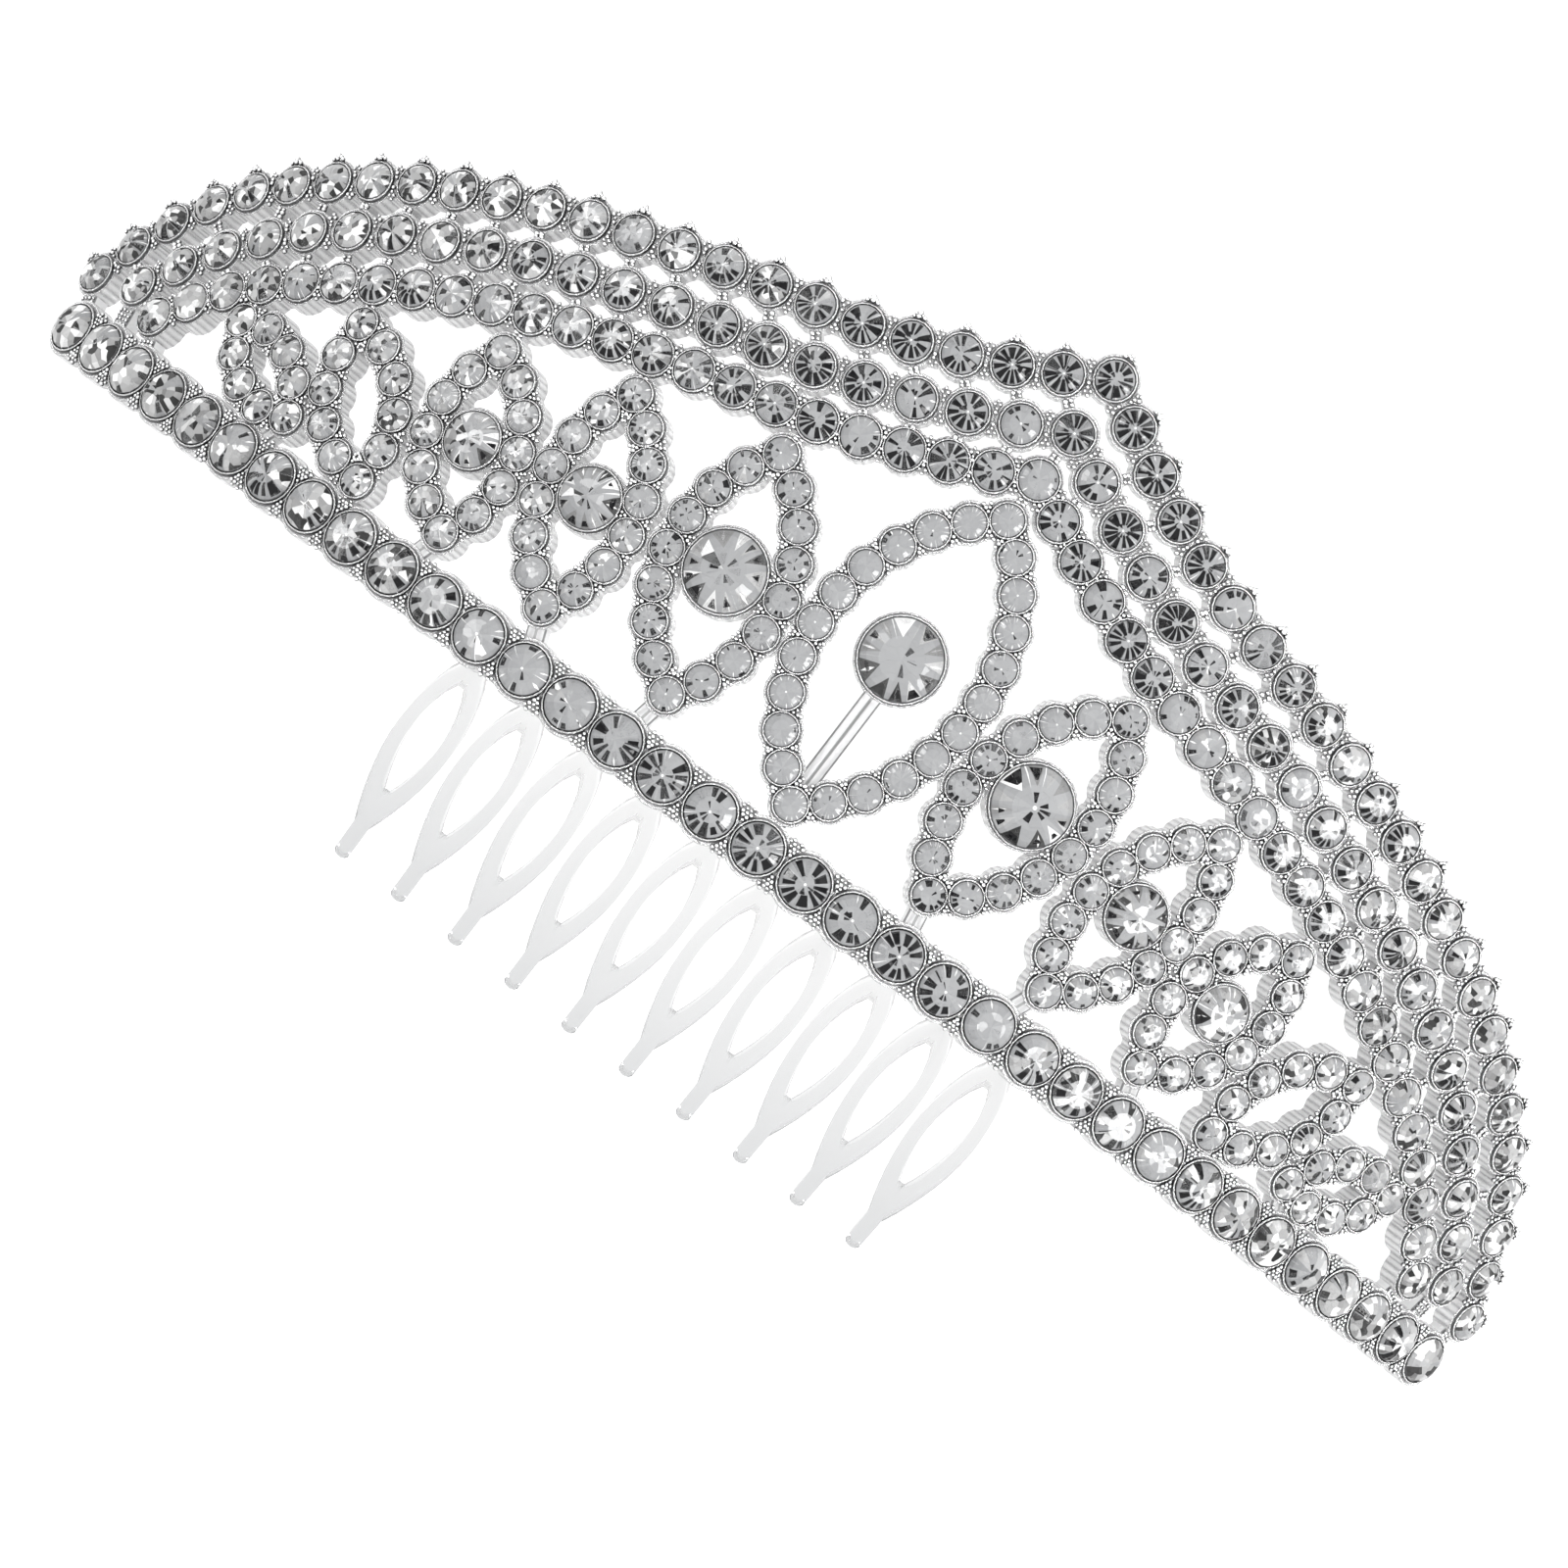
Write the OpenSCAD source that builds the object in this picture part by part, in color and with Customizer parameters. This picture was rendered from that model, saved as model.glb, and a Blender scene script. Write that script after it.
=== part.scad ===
// Crystal tiara: a bent and pierced silver casting, set with round crystals, on a clear hair comb.
// The casting is laid out flat, as position along the bend and height above the base row, and
// every piece is then placed on a bend round an upright axis. At rest it lies face up on its peak
// and on the two shoulders of its outer row, with the comb in the air.

/* [Bend] */
// Radius of the bend, at the rims of the cups
bend_r = 102.5; // [100:0.5:125]
// Distance between the stones of the base row, along the bend
base_pitch = 4.9; // [4.85:0.05:5]

/* [Casting] */
// Depth of the casting from the rims to its back
casting_depth = 2.4; // [2.2:0.1:3]
// Thickness of the floor under each stone
cup_floor = 0.45; // [0.4:0.05:0.6]
// Least wall of a cup round its stone
cup_wall = 0.16; // [0.14:0.01:0.18]
// How far neighbouring cups of a spaced row run into each other
cup_overlap = 0.08; // [0.06:0.01:0.1]
// Width of the bars that tie the rows together
link_w = 1; // [0.8:0.1:1.4]
// Width of the flat posts and the stem
post_w = 1.7; // [1.4:0.1:2]

/* [Stones] */
// Diameter of a stone of the base row
base_stone_d = 4.6; // [4.4:0.05:4.65]
// Diameter of a stone of the three band rows
band_stone_d = 3.55; // [3.3:0.05:3.6]
// Diameter of a stone of the leaves
leaf_stone_d = 2.95; // [2.7:0.05:2.95]
// Clearance between a stone and its cup
stone_gap = 0.07; // [0.05:0.01:0.08]

/* [Comb] */
// Number of looped teeth
teeth = 10; // [8:1:12]
// Distance between teeth
tooth_pitch = 6.16; // [5.9:0.01:6.4]
// Length of a tooth below the spine
tooth_length = 27.8; // [26.5:0.1:30]
// Width of a tooth at its widest
tooth_w = 5.4; // [4.8:0.1:5.6]
// How far the teeth lean back from upright
comb_lean = 40; // [30:1:50]
// Thickness of the teeth
comb_t = 1.4; // [1.2:0.1:1.8]

/* [Hidden] */
// Stones on each side of the middle stone of the base row
base_side = 17;
// Sides of the outside of a cup of a row, a leaf and a solitaire
row_cup_sides = 10;
leaf_cup_sides = 8;
solitaire_cup_sides = 16;
// How much shorter the bars of beads of the base row are than its cups
bead_bar_inset = 0.3;

// Half of each band row from its peak to its end, each row [arc position, height]
outer_row = [[0, 48.6], [15.7, 40.9], [32.7, 36.6], [49.2, 31.7], [65, 25.1], [78.6, 15.5], [85.4, 5]];
middle_row = [[0, 43], [16.8, 35.7], [34.3, 31.3], [51.6, 25.8], [67.5, 18.2], [79.6, 6.3]];
inner_row = [[0, 38.2], [14.5, 32], [29.4, 28.1], [43.6, 24], [57.5, 18.3], [70.2, 10.4], [75.4, 5]];
// Stones on each side of the peak stone of each band row
outer_side = 23;
middle_side = 20;
inner_side = 22;

// Leaves from the middle to the right end, each row [arc position of the foot, height of the foot,
// lean from upright, length, half width, stones on each side, diameter of the solitaire or 0]
leaves = [
    [0, 4.5, 0, 29.5, 7.6, 10, 7.3],
    [13.7, 5.5, 12, 22.1, 5.3, 7, 7.2],
    [26.6, 5.05, 14.3, 19.35, 4.3, 6, 5.5],
    [37.7, 4.9, 20.5, 16.2, 4.25, 5, 5.1],
    [46.9, 4.1, 40, 14.2, 3.4, 4, 0],
    [56.4, 4.8, 67, 11.2, 2.5, 3, 0]
];
foot_s = 0;
foot_z = 1;
lean = 2;
length = 3;
belly = 4;
side_stones = 5;
solitaire_d = 6;
// Place of a solitaire on its leaf's axis, as a share of the length
solitaire_place = 0.51;

// Stone: facets round the table, and depth of the girdle below the rim
facets = 8;
girdle_drop = 0.2;
// Stone: shares of the diameter, of which the foot's is its least
table_share = 0.56;
crown_share = 0.17;
pavilion_share = 0.42;
foot_share = 0.16;
// Angle between the pavilion's facets and the girdle's plane
pavilion_angle = 41;
// Room between a stone's foot and the floor of its cup
foot_room = 0.1;

// How far a bar runs into the wall of a cup, and its distances from the rim and the back
link_bite = 0.14;
link_drop = 0.5;
link_lift = 0.3;

// Comb: sizes along a tooth, measured up from its tip
stub_length = 4.4;
slot_start = 7.8;
slot_end = 23.8;
loop_end = 25.4;
// Comb: width of a tooth at its tip and at the spine, and of its slot
stub_w = 1.45;
neck_w = 2.1;
slot_w = 3;
// Comb: height and thickness of the spine
spine_h = 3;
spine_t = 1.5;
// Height of the spine's middle above the middle of the base row
spine_z = -0.6;
// Gap between the comb and the casting
comb_gap = 0.15;

// Rest: turn about the long axis, then the move that brings the middle of its foot to the origin
rest_turn = -131.25;
rest_y = 70.01;

silver = [0.82, 0.83, 0.85];
crystal = [0.72, 0.76, 0.8];
clear = [0.9, 0.93, 0.95, 0.5];

// Smooth curve through key points, by the length of the straight lines between them
function steps(keys) = [for (i = [0:len(keys) - 2]) norm(keys[i + 1] - keys[i])];
function slopes(keys) = [for (i = [0:len(keys) - 2]) (keys[i + 1] - keys[i]) / norm(keys[i + 1] - keys[i])];
function tangent(d, h, i) =
    i == 0 ? d[0] + (d[0] - d[1]) * h[0] / (h[0] + h[1])
    : i == len(h) ? d[i - 1] + (d[i - 1] - d[i - 2]) * h[i - 1] / (h[i - 1] + h[i - 2])
    : (d[i - 1] * h[i] + d[i] * h[i - 1]) / (h[i - 1] + h[i]);
function blend(a, b, ta, tb, h, u) =
    a * (1 + 2 * u) * pow(1 - u, 2) + b * u * u * (3 - 2 * u)
    + ta * h * u * pow(1 - u, 2) + tb * h * u * u * (u - 1);
function fine_curve(keys, n = 24) =
    let (d = slopes(keys), h = steps(keys))
    [
        for (i = [0:len(h) - 1])
            for (k = [0:n - 1])
                blend(keys[i], keys[i + 1], tangent(d, h, i), tangent(d, h, i + 1), h[i], k / n),
        keys[len(keys) - 1]
    ];
// Points at equal distances along a curve, without its first point
function evenly(curve, count) =
    let (
        h = steps(curve),
        run = [for (i = 0, s = 0; i <= len(h); s = s + (i < len(h) ? h[i] : 0), i = i + 1) s],
        s_by_run = [for (i = [0:len(curve) - 1]) [run[i], curve[i][0]]],
        z_by_run = [for (i = [0:len(curve) - 1]) [run[i], curve[i][1]]]
    )
    [
        for (k = [1:count])
            let (want = run[len(h)] * k / count)
            [lookup(want, s_by_run), lookup(want, z_by_run)]
    ];
function row_points(keys, side) =
    let (half = evenly(fine_curve(keys), side))
    [for (i = [side - 1:-1:0]) [-half[i][0], half[i][1]], keys[0], each half];

base_points = [for (i = [-base_side:base_side]) [i * base_pitch, 0]];
outer_points = row_points(outer_row, outer_side);
middle_points = row_points(middle_row, middle_side);
inner_points = row_points(inner_row, inner_side);

// A leaf is two arcs that meet at its foot and its tip
function leaf_arc_r(leaf) = (pow(leaf[length] / 2, 2) + pow(leaf[belly], 2)) / 2 / leaf[belly];
function on_leaf(leaf, along, out) = [
    leaf[foot_s] + along * sin(leaf[lean]) + out * cos(leaf[lean]),
    leaf[foot_z] + along * cos(leaf[lean]) - out * sin(leaf[lean])
];
function leaf_side(leaf, side) =
    let (
        r = leaf_arc_r(leaf),
        half = asin(leaf[length] / 2 / r),
        n = leaf[side_stones]
    )
    [
        for (i = [1:n])
            let (a = half * (2 * i / (n + 1) - 1))
            on_leaf(leaf, leaf[length] / 2 + r * sin(a), side * (r * cos(a) - r + leaf[belly]))
    ];
function leaf_foot(leaf) = on_leaf(leaf, 0, 0);
function leaf_tip(leaf) = on_leaf(leaf, leaf[length], 0);
function leaf_points(leaf) =
    [leaf_foot(leaf), each leaf_side(leaf, -1), leaf_tip(leaf), each leaf_side(leaf, 1)];
function solitaire_at(leaf) = on_leaf(leaf, leaf[length] * solitaire_place, 0);
function left_leaf(leaf) =
    [-leaf[foot_s], leaf[foot_z], -leaf[lean], for (i = [length:solitaire_d]) leaf[i]];
all_leaves = [each leaves, for (i = [1:len(leaves) - 1]) left_leaf(leaves[i])];

// Nearest point of a list to a point
function nearest(p, points) =
    let (d = [for (q = points) norm(q - p)])
    points[search(min(d), d)[0]];

function pitch_of(points) = norm(points[1] - points[0]);
function cup_r(stone_d, pitch = 0) = max(stone_d / 2 + stone_gap + cup_wall, (pitch + cup_overlap) / 2);
base_cup_r = cup_r(base_stone_d, base_pitch);
outer_cup_r = cup_r(band_stone_d, pitch_of(outer_points));
middle_cup_r = cup_r(band_stone_d, pitch_of(middle_points));
inner_cup_r = cup_r(band_stone_d, pitch_of(inner_points));
leaf_cup_r = cup_r(leaf_stone_d);

// At rest the back edge of the peak cup is as low as the origin
rest_z = (bend_r - casting_depth) * sin(rest_turn) - (outer_row[0][1] + outer_cup_r) * cos(rest_turn);

// Lays the finished tiara down as it rests by itself
module at_rest() {
    translate([0, rest_y, rest_z])
        rotate([0, 0, 180])
            rotate([rest_turn, 0, 0])
                children();
}

// Places its children on the bend, with their +Z outwards and their +Y up
module on_bend(p) {
    rotate([0, 0, p[0] / bend_r * 180 / PI])
        translate([0, -bend_r, p[1]])
            rotate([90, 0, 0])
                children();
}

module cup_body(r, sides) {
    translate([0, 0, -casting_depth])
        cylinder(r = r / cos(180 / sides), h = casting_depth, $fn = sides);
}

module cup_bore(stone_d) {
    translate([0, 0, cup_floor - casting_depth])
        cylinder(r = stone_d / 2 + stone_gap, h = casting_depth, $fn = 24);
}

module cups(points, r, sides = row_cup_sides, turn = 0) {
    for (p = points)
        on_bend(p) rotate([0, 0, turn]) cup_body(r, sides);
}

module bores(points, stone_d) {
    for (p = points)
        on_bend(p) cup_bore(stone_d);
}

// A bar from the wall of the cup at p to the wall of the cup at q, of radius p_r and q_r
module link(p, q, p_r, q_r, w = link_w) {
    across = q - p;
    on_bend(p)
        rotate([0, 0, atan2(across[1], across[0])])
            translate([p_r - link_bite, -w / 2, link_lift - casting_depth])
                cube([norm(across) - p_r - q_r + 2 * link_bite, w, casting_depth - link_drop - link_lift]);
}

// One row of cups, with a bar of beads between each two where beads is its height
module cup_row(points, r, stone_d, beads = 0) {
    difference() {
        union() {
            cups(points, r);
            if (beads > 0)
                for (i = [0:len(points) - 2])
                    on_bend((points[i] + points[i + 1]) / 2)
                        translate([-link_w / 2, -beads / 2, link_lift - casting_depth])
                            cube([link_w, beads, casting_depth - link_lift - girdle_drop]);
        }
        bores(points, stone_d);
    }
}

module leaf_casting(leaf) {
    difference() {
        union() {
            // A flat side of each cup faces the next leaf
            cups(leaf_points(leaf), leaf_cup_r, leaf_cup_sides, 180 / leaf_cup_sides);
            if (leaf[solitaire_d] > 0)
                cups([solitaire_at(leaf)], cup_r(leaf[solitaire_d]), solitaire_cup_sides);
        }
        bores(leaf_points(leaf), leaf_stone_d);
        if (leaf[solitaire_d] > 0)
            bores([solitaire_at(leaf)], leaf[solitaire_d]);
    }
}

module frame() {
    color(silver) at_rest() {
        cup_row(base_points, base_cup_r, base_stone_d, 2 * base_cup_r - bead_bar_inset);
        cup_row(outer_points, outer_cup_r, band_stone_d);
        cup_row(middle_points, middle_cup_r, band_stone_d);
        cup_row(inner_points, inner_cup_r, band_stone_d);
        for (p = middle_points) {
            link(p, nearest(p, outer_points), middle_cup_r, outer_cup_r);
            link(p, nearest(p, inner_points), middle_cup_r, inner_cup_r);
        }
        for (leaf = all_leaves) {
            leaf_casting(leaf);
            link(leaf_tip(leaf), nearest(leaf_tip(leaf), inner_points), leaf_cup_r, inner_cup_r);
            link(leaf_foot(leaf), nearest(leaf_foot(leaf), base_points), leaf_cup_r, base_cup_r, post_w);
        }
        stem_end_r = cup_r(leaves[0][solitaire_d]);
        link(leaf_foot(leaves[0]), solitaire_at(leaves[0]), leaf_cup_r, stem_end_r, post_w);
        for (row = [outer_points, middle_points, inner_points], end = [row[0], row[len(row) - 1]])
            link(end, nearest(end, base_points), outer_cup_r, base_cup_r, post_w);
    }
}

function ring_of(r, z) = [
    for (i = [0:facets - 1])
        let (a = 360 / facets * (i + 0.5))
        [r * cos(a), r * sin(a), z]
];
// A cut stone: its table, a ring of crown facets, a ring of pavilion facets and a small foot
module stone(d) {
    room = casting_depth - cup_floor - foot_room - girdle_drop;
    pavilion = min(pavilion_share * d, room);
    foot_r = max(foot_share * d / 2, d / 2 - pavilion / tan(pavilion_angle));
    polyhedron(
        points = [
            each ring_of(table_share * d / 2, crown_share * d - girdle_drop),
            each ring_of(d / 2, -girdle_drop),
            each ring_of(foot_r, -pavilion - girdle_drop)
        ],
        faces = [
            [for (i = [facets - 1:-1:0]) i],
            for (ring = [0, facets], i = [0:facets - 1])
                let (j = (i + 1) % facets)
                [ring + i, ring + j, ring + j + facets, ring + i + facets],
            [for (i = [0:facets - 1]) 2 * facets + i]
        ]
    );
}

module stones(points, d) {
    color(crystal) at_rest()
        for (p = points)
            on_bend(p) stone(d);
}

// The stones of a leaf's outline
module leaf_stones(leaf) {
    stones(leaf_points(leaf), leaf_stone_d);
}

module solitaire(leaf) {
    stones([solitaire_at(leaf)], leaf[solitaire_d]);
}

// One looped tooth, drawn with its tip at the origin and its spine up along +Y
function loop_half_w(t) =
    let (
        share = (t - stub_length) / (loop_end - stub_length),
        straight = stub_w + (neck_w - stub_w) * share
    )
    straight / 2 + (tooth_w - straight) / 2 * pow(sin(180 * pow(share, 1.2)), 0.75);
function slot_half_w(t) =
    let (share = (t - slot_start) / (slot_end - slot_start))
    slot_w / 2 * pow(sin(180 * pow(share, 1.15)), 0.65);
// An outline from its right side, bottom to top, with the left side as its mirror image
function both_sides(side) = [each side, for (i = [len(side) - 1:-1:0]) [-side[i][0], side[i][1]]];
module tooth_outline() {
    tip_side = [for (a = [-75:30:-15]) [stub_w / 2 * cos(a), stub_w / 2 * (1 + sin(a))]];
    loop_side = [
        for (k = [0:12])
            let (t = stub_length + (loop_end - stub_length) * k / 12)
            [loop_half_w(t), t]
    ];
    slot_side = [
        for (k = [0.3, 1, 2, 3, 4, 5, 6, 7, 8, 9, 9.8])
            let (t = slot_start + (slot_end - slot_start) * k / 10)
            [slot_half_w(t), t]
    ];
    difference() {
        polygon(both_sides([each tip_side, each loop_side, [neck_w / 2, tooth_length]]));
        polygon(both_sides(slot_side));
    }
}

module comb() {
    back_r = bend_r - casting_depth - comb_gap;
    // The teeth start inside the spine, clear of the casting
    root_r = back_r - 0.8 * spine_t;
    half_turn = (teeth * tooth_pitch / 2) / back_r * 180 / PI;
    color(clear) at_rest() {
        rotate([0, 0, -90 - half_turn])
            rotate_extrude(angle = 2 * half_turn, $fn = 90)
                translate([back_r - spine_t, spine_z - spine_h / 2])
                    square([spine_t, spine_h]);
        for (i = [0:teeth - 1]) {
            x = (i - (teeth - 1) / 2) * tooth_pitch;
            translate([x, -sqrt(root_r * root_r - x * x), spine_z])
                rotate([comb_lean + 90, 0, 0])
                    translate([0, -tooth_length, -comb_t / 2])
                        linear_extrude(height = comb_t) tooth_outline();
        }
    }
}

frame();
comb();
stones(outer_points, band_stone_d);  // outer_row_stones
stones(middle_points, band_stone_d);  // middle_row_stones
stones(inner_points, band_stone_d);  // inner_row_stones
leaf_stones(leaves[0]);  // centre_leaf_stones
leaf_stones(leaves[1]);  // large_leaf_stones_right
leaf_stones(left_leaf(leaves[1]));  // large_leaf_stones_left
leaf_stones(leaves[2]);  // medium_leaf_stones_right
leaf_stones(left_leaf(leaves[2]));  // medium_leaf_stones_left
leaf_stones(leaves[3]);  // small_leaf_stones_right
leaf_stones(left_leaf(leaves[3]));  // small_leaf_stones_left
solitaire(leaves[0]);  // centre_solitaire
solitaire(leaves[1]);  // large_solitaire_right
solitaire(left_leaf(leaves[1]));  // large_solitaire_left
solitaire(leaves[2]);  // medium_solitaire_right
solitaire(left_leaf(leaves[2]));  // medium_solitaire_left
solitaire(leaves[3]);  // small_solitaire_right
solitaire(left_leaf(leaves[3]));  // small_solitaire_left
for (i = [1:2 * base_side + 1])
    stones([base_points[i - 1]], base_stone_d);
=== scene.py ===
"""Looks of the crystal tiara: the silver casting and its beads, the cut stones and the clear comb.

The tiara lies face up on a pale floor, on its peak and the shoulders of its band, with the comb in
the air. The casting, its beads and the stones are laid out in millimetres and scaled as they go to
their places on the bend. The studio, the floor and the comb are in metres, and so are the relief and
the crevices of the finishes.
"""
import math
import random

import bpy
from mathutils import Matrix, Vector


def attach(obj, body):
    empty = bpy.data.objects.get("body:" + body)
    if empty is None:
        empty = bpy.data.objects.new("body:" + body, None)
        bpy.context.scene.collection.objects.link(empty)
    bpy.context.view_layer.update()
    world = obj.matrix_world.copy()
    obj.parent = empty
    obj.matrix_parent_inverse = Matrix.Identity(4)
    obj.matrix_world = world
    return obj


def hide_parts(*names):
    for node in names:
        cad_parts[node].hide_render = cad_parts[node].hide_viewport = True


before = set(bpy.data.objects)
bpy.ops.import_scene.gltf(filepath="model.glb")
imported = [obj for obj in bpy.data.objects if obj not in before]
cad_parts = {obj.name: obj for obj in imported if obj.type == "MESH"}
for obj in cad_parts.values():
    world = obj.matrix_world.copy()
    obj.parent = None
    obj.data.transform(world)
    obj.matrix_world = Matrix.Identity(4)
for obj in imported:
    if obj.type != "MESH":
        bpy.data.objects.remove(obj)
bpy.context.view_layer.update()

# The camera looks straight at the middle of the band and is rolled, so that the peak points up
# and to the right in the picture, as in the photograph.
lens_mm = 144.945
camera_place = (0.01161, -0.33837, 0.42786)
camera_turn = (-34.4806, 22.4341, -149.2161)

camera_data = bpy.data.cameras.new("camera")
camera_data.sensor_width = 36
camera_data.lens = lens_mm
camera = bpy.data.objects.new("camera", camera_data)
camera.location = camera_place
camera.rotation_euler = [math.radians(angle) for angle in camera_turn]
bpy.context.collection.objects.link(camera)
bpy.context.scene.camera = camera

# The studio is a white tent: a pale surround that is darker low down, with one soft panel on each
# side of the camera, and before each a smaller sheet that is seen only where something mirrors it.
# The picture is shown as it is lit, with no film curve.
tent_low = (0.4, 0.4, 0.405, 1)
tent_high = (1, 1, 1, 1)
tent_strength = 1.0
tent_split = 0.5
panels = [
    {"name": "right_panel", "place": (-0.62, -0.36, 0.4), "size": 0.32, "watts": 3.6, "lights": True},
    {"name": "left_panel", "place": (0.62, -0.38, 0.42), "size": 0.26, "watts": 1.7, "lights": True},
    {"name": "right_sheet", "place": (-0.61, -0.35, 0.39), "size": 0.26, "watts": 1.9, "lights": False},
    {"name": "left_sheet", "place": (0.61, -0.37, 0.41), "size": 0.16, "watts": 0.5, "lights": False},
]

world = bpy.data.worlds.new("studio")
world.use_nodes = True
nodes = world.node_tree.nodes
links = world.node_tree.links
place = nodes.new("ShaderNodeTexCoord")
parts = nodes.new("ShaderNodeSeparateXYZ")
rise = nodes.new("ShaderNodeValToRGB")
rise.color_ramp.elements[0].position = 0
rise.color_ramp.elements[0].color = tent_low
rise.color_ramp.elements[1].position = tent_split
rise.color_ramp.elements[1].color = tent_high
links.new(place.outputs["Generated"], parts.inputs[0])
links.new(parts.outputs["Z"], rise.inputs[0])
links.new(rise.outputs[0], nodes["Background"].inputs["Color"])
nodes["Background"].inputs["Strength"].default_value = tent_strength
bpy.context.scene.world = world
bpy.context.scene.view_settings.view_transform = "Standard"

for panel in panels:
    light_data = bpy.data.lights.new(panel["name"], "AREA")
    light_data.size = panel["size"]
    light_data.energy = panel["watts"]
    light = bpy.data.objects.new(panel["name"], light_data)
    light.location = panel["place"]
    light.rotation_euler = (-Vector(panel["place"])).to_track_quat("-Z", "Y").to_euler()
    light.visible_diffuse = panel["lights"]
    bpy.context.collection.objects.link(light)

# The floor is a plain sheet of opal acrylic that is lit from below, as a photographer's table is, so
# the tiara casts hardly any shadow.
floor_size = 6
floor_opal = (0.38, 0.38, 0.38, 1)
floor_haze = (0.36, 0.36, 0.36, 1)
haze_scale = 3
floor_white = (1, 1, 1, 1)
floor_glow = 0.8


class Wire:
    """A socket of a material's nodes. Sums and comparisons of wires add Math nodes."""

    def __init__(self, socket):
        self.socket = socket

    def to(self, socket):
        """Links the wire to a node's input."""
        self.socket.id_data.links.new(self.socket, socket)

    def node(self, kind, settings=None, inputs=None, output=0):
        """One output of a new node, with its inputs linked or set by name or number."""
        return add_node(self.socket.id_data, kind, settings, inputs, output)

    def maths(self, operation, *others):
        """What a Math node makes of the wire and up to two others or numbers."""
        inputs = dict(enumerate((self, *others)))
        return self.node("ShaderNodeMath", {"operation": operation}, inputs)

    def __add__(self, other):
        return self.maths("ADD", other)

    __radd__ = __add__

    def __sub__(self, other):
        return self.maths("SUBTRACT", other)

    def __rsub__(self, other):
        return (self * -1) + other

    def __mul__(self, other):
        return self.maths("MULTIPLY", other)

    __rmul__ = __mul__

    def __pow__(self, other):
        return self.maths("POWER", other)

    def __gt__(self, other):
        return self.maths("GREATER_THAN", other)

    def __lt__(self, other):
        return self.maths("LESS_THAN", other)

    def __abs__(self):
        return self.maths("ABSOLUTE")

    def __floor__(self):
        return self.maths("FLOOR")

    def __getitem__(self, axis):
        """One part of a vector."""
        return self.node("ShaderNodeSeparateXYZ", None, {0: self}, axis)

    def between(self, low, high):
        """1 where the value lies between two others, and 0 elsewhere."""
        return (self > low) * (self < high)

    def ramp(self, *stops):
        """A grey that follows the value through (position, grey) stops."""
        colours = [(position, (grey, grey, grey, 1)) for position, grey in stops]
        return self.node("ShaderNodeValToRGB", {"stops": colours}, {0: self})

    def mix(self, low, high):
        """Colour low where the value is 0 and colour high where it is 1."""
        return self.node("ShaderNodeMix", {"data_type": "RGBA"}, {0: self, 6: low, 7: high}, 2)


def add_node(tree, kind, settings=None, inputs=None, output=0):
    """One output of a new node, whose settings come first and then its inputs."""
    made = tree.nodes.new(kind)
    for name, setting in (settings or {}).items():
        if name == "stops":
            elements = made.color_ramp.elements
            for position, colour in setting[2:]:
                elements.new(position)
            for element, (position, colour) in zip(elements, setting):
                element.position = position
                element.color = colour
        else:
            setattr(made, name, setting)
    for name, given in (inputs or {}).items():
        if isinstance(given, Wire):
            given.to(made.inputs[name])
        else:
            made.inputs[name].default_value = given
    return Wire(made.outputs[output])


class Finish:
    """A material under a name, with what its pattern can follow and its shader's sockets."""

    def __init__(self, name):
        self.material = bpy.data.materials.new(name)
        self.material.use_nodes = True
        self.tree = self.material.node_tree
        self.shader = self.tree.nodes["Principled BSDF"]

    def place(self):
        """Object coordinates, in metres."""
        return add_node(self.tree, "ShaderNodeTexCoord", output=3)

    def attribute(self, name, output=1):
        """Values kept on the piece's points: a vector, or with output 2 a single number."""
        return add_node(self.tree, "ShaderNodeAttribute", {"attribute_name": name}, None, output)

    def noise(self, scale, detail):
        """Soft noise over the piece's own box, which counts as 1 long on each side."""
        return add_node(self.tree, "ShaderNodeTexNoise", None, {"Scale": scale, "Detail": detail})

    def openness(self, reach):
        """0 deep in a crevice and 1 where nothing stands within reach, in metres."""
        kind = "ShaderNodeAmbientOcclusion"
        seen = add_node(self.tree, kind, {"samples": 6}, {"Distance": reach}, 1)
        return seen.ramp((0.2, 0.0), (0.7, 1.0))

    def bump(self, height, distance):
        """Raises the surface by a wire's value, in metres."""
        inputs = {"Height": height, "Distance": distance}
        height.node("ShaderNodeBump", None, inputs).to(self.shader.inputs["Normal"])

    def set(self, **values):
        """Sets or links sockets, each named as on the shader with _ for a space."""
        for name, given in values.items():
            socket = self.shader.inputs[name.replace("_", " ")]
            if isinstance(given, Wire):
                given.to(socket)
            else:
                socket.default_value = given


def start(primitive, name, **how):
    """A new primitive, with nothing else selected."""
    bpy.ops.object.select_all(action="DESELECT")
    primitive(**how)
    made = bpy.context.object
    made.name = name
    made.data.name = name
    return made


def pick_faces(piece, wanted):
    """Goes into edit mode with just the wanted faces selected."""
    bpy.ops.object.mode_set(mode="EDIT")
    bpy.ops.mesh.select_mode(type="FACE")
    bpy.ops.mesh.select_all(action="DESELECT")
    bpy.ops.object.mode_set(mode="OBJECT")
    for face in piece.data.polygons:
        face.select = wanted(face)
    bpy.ops.object.mode_set(mode="EDIT")


floor = start(bpy.ops.mesh.primitive_plane_add, "floor", size=floor_size)
pick_faces(floor, lambda face: True)
bpy.ops.mesh.subdivide(number_cuts=1)
bpy.ops.object.mode_set(mode="OBJECT")
acrylic = Finish("white_acrylic")
haze = acrylic.noise(haze_scale, 1)
acrylic.set(Base_Color=haze.mix(floor_haze, floor_opal), Roughness=0.6)
acrylic.set(Emission_Color=floor_white, Emission_Strength=floor_glow)
floor.data.materials.append(acrylic.material)

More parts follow.
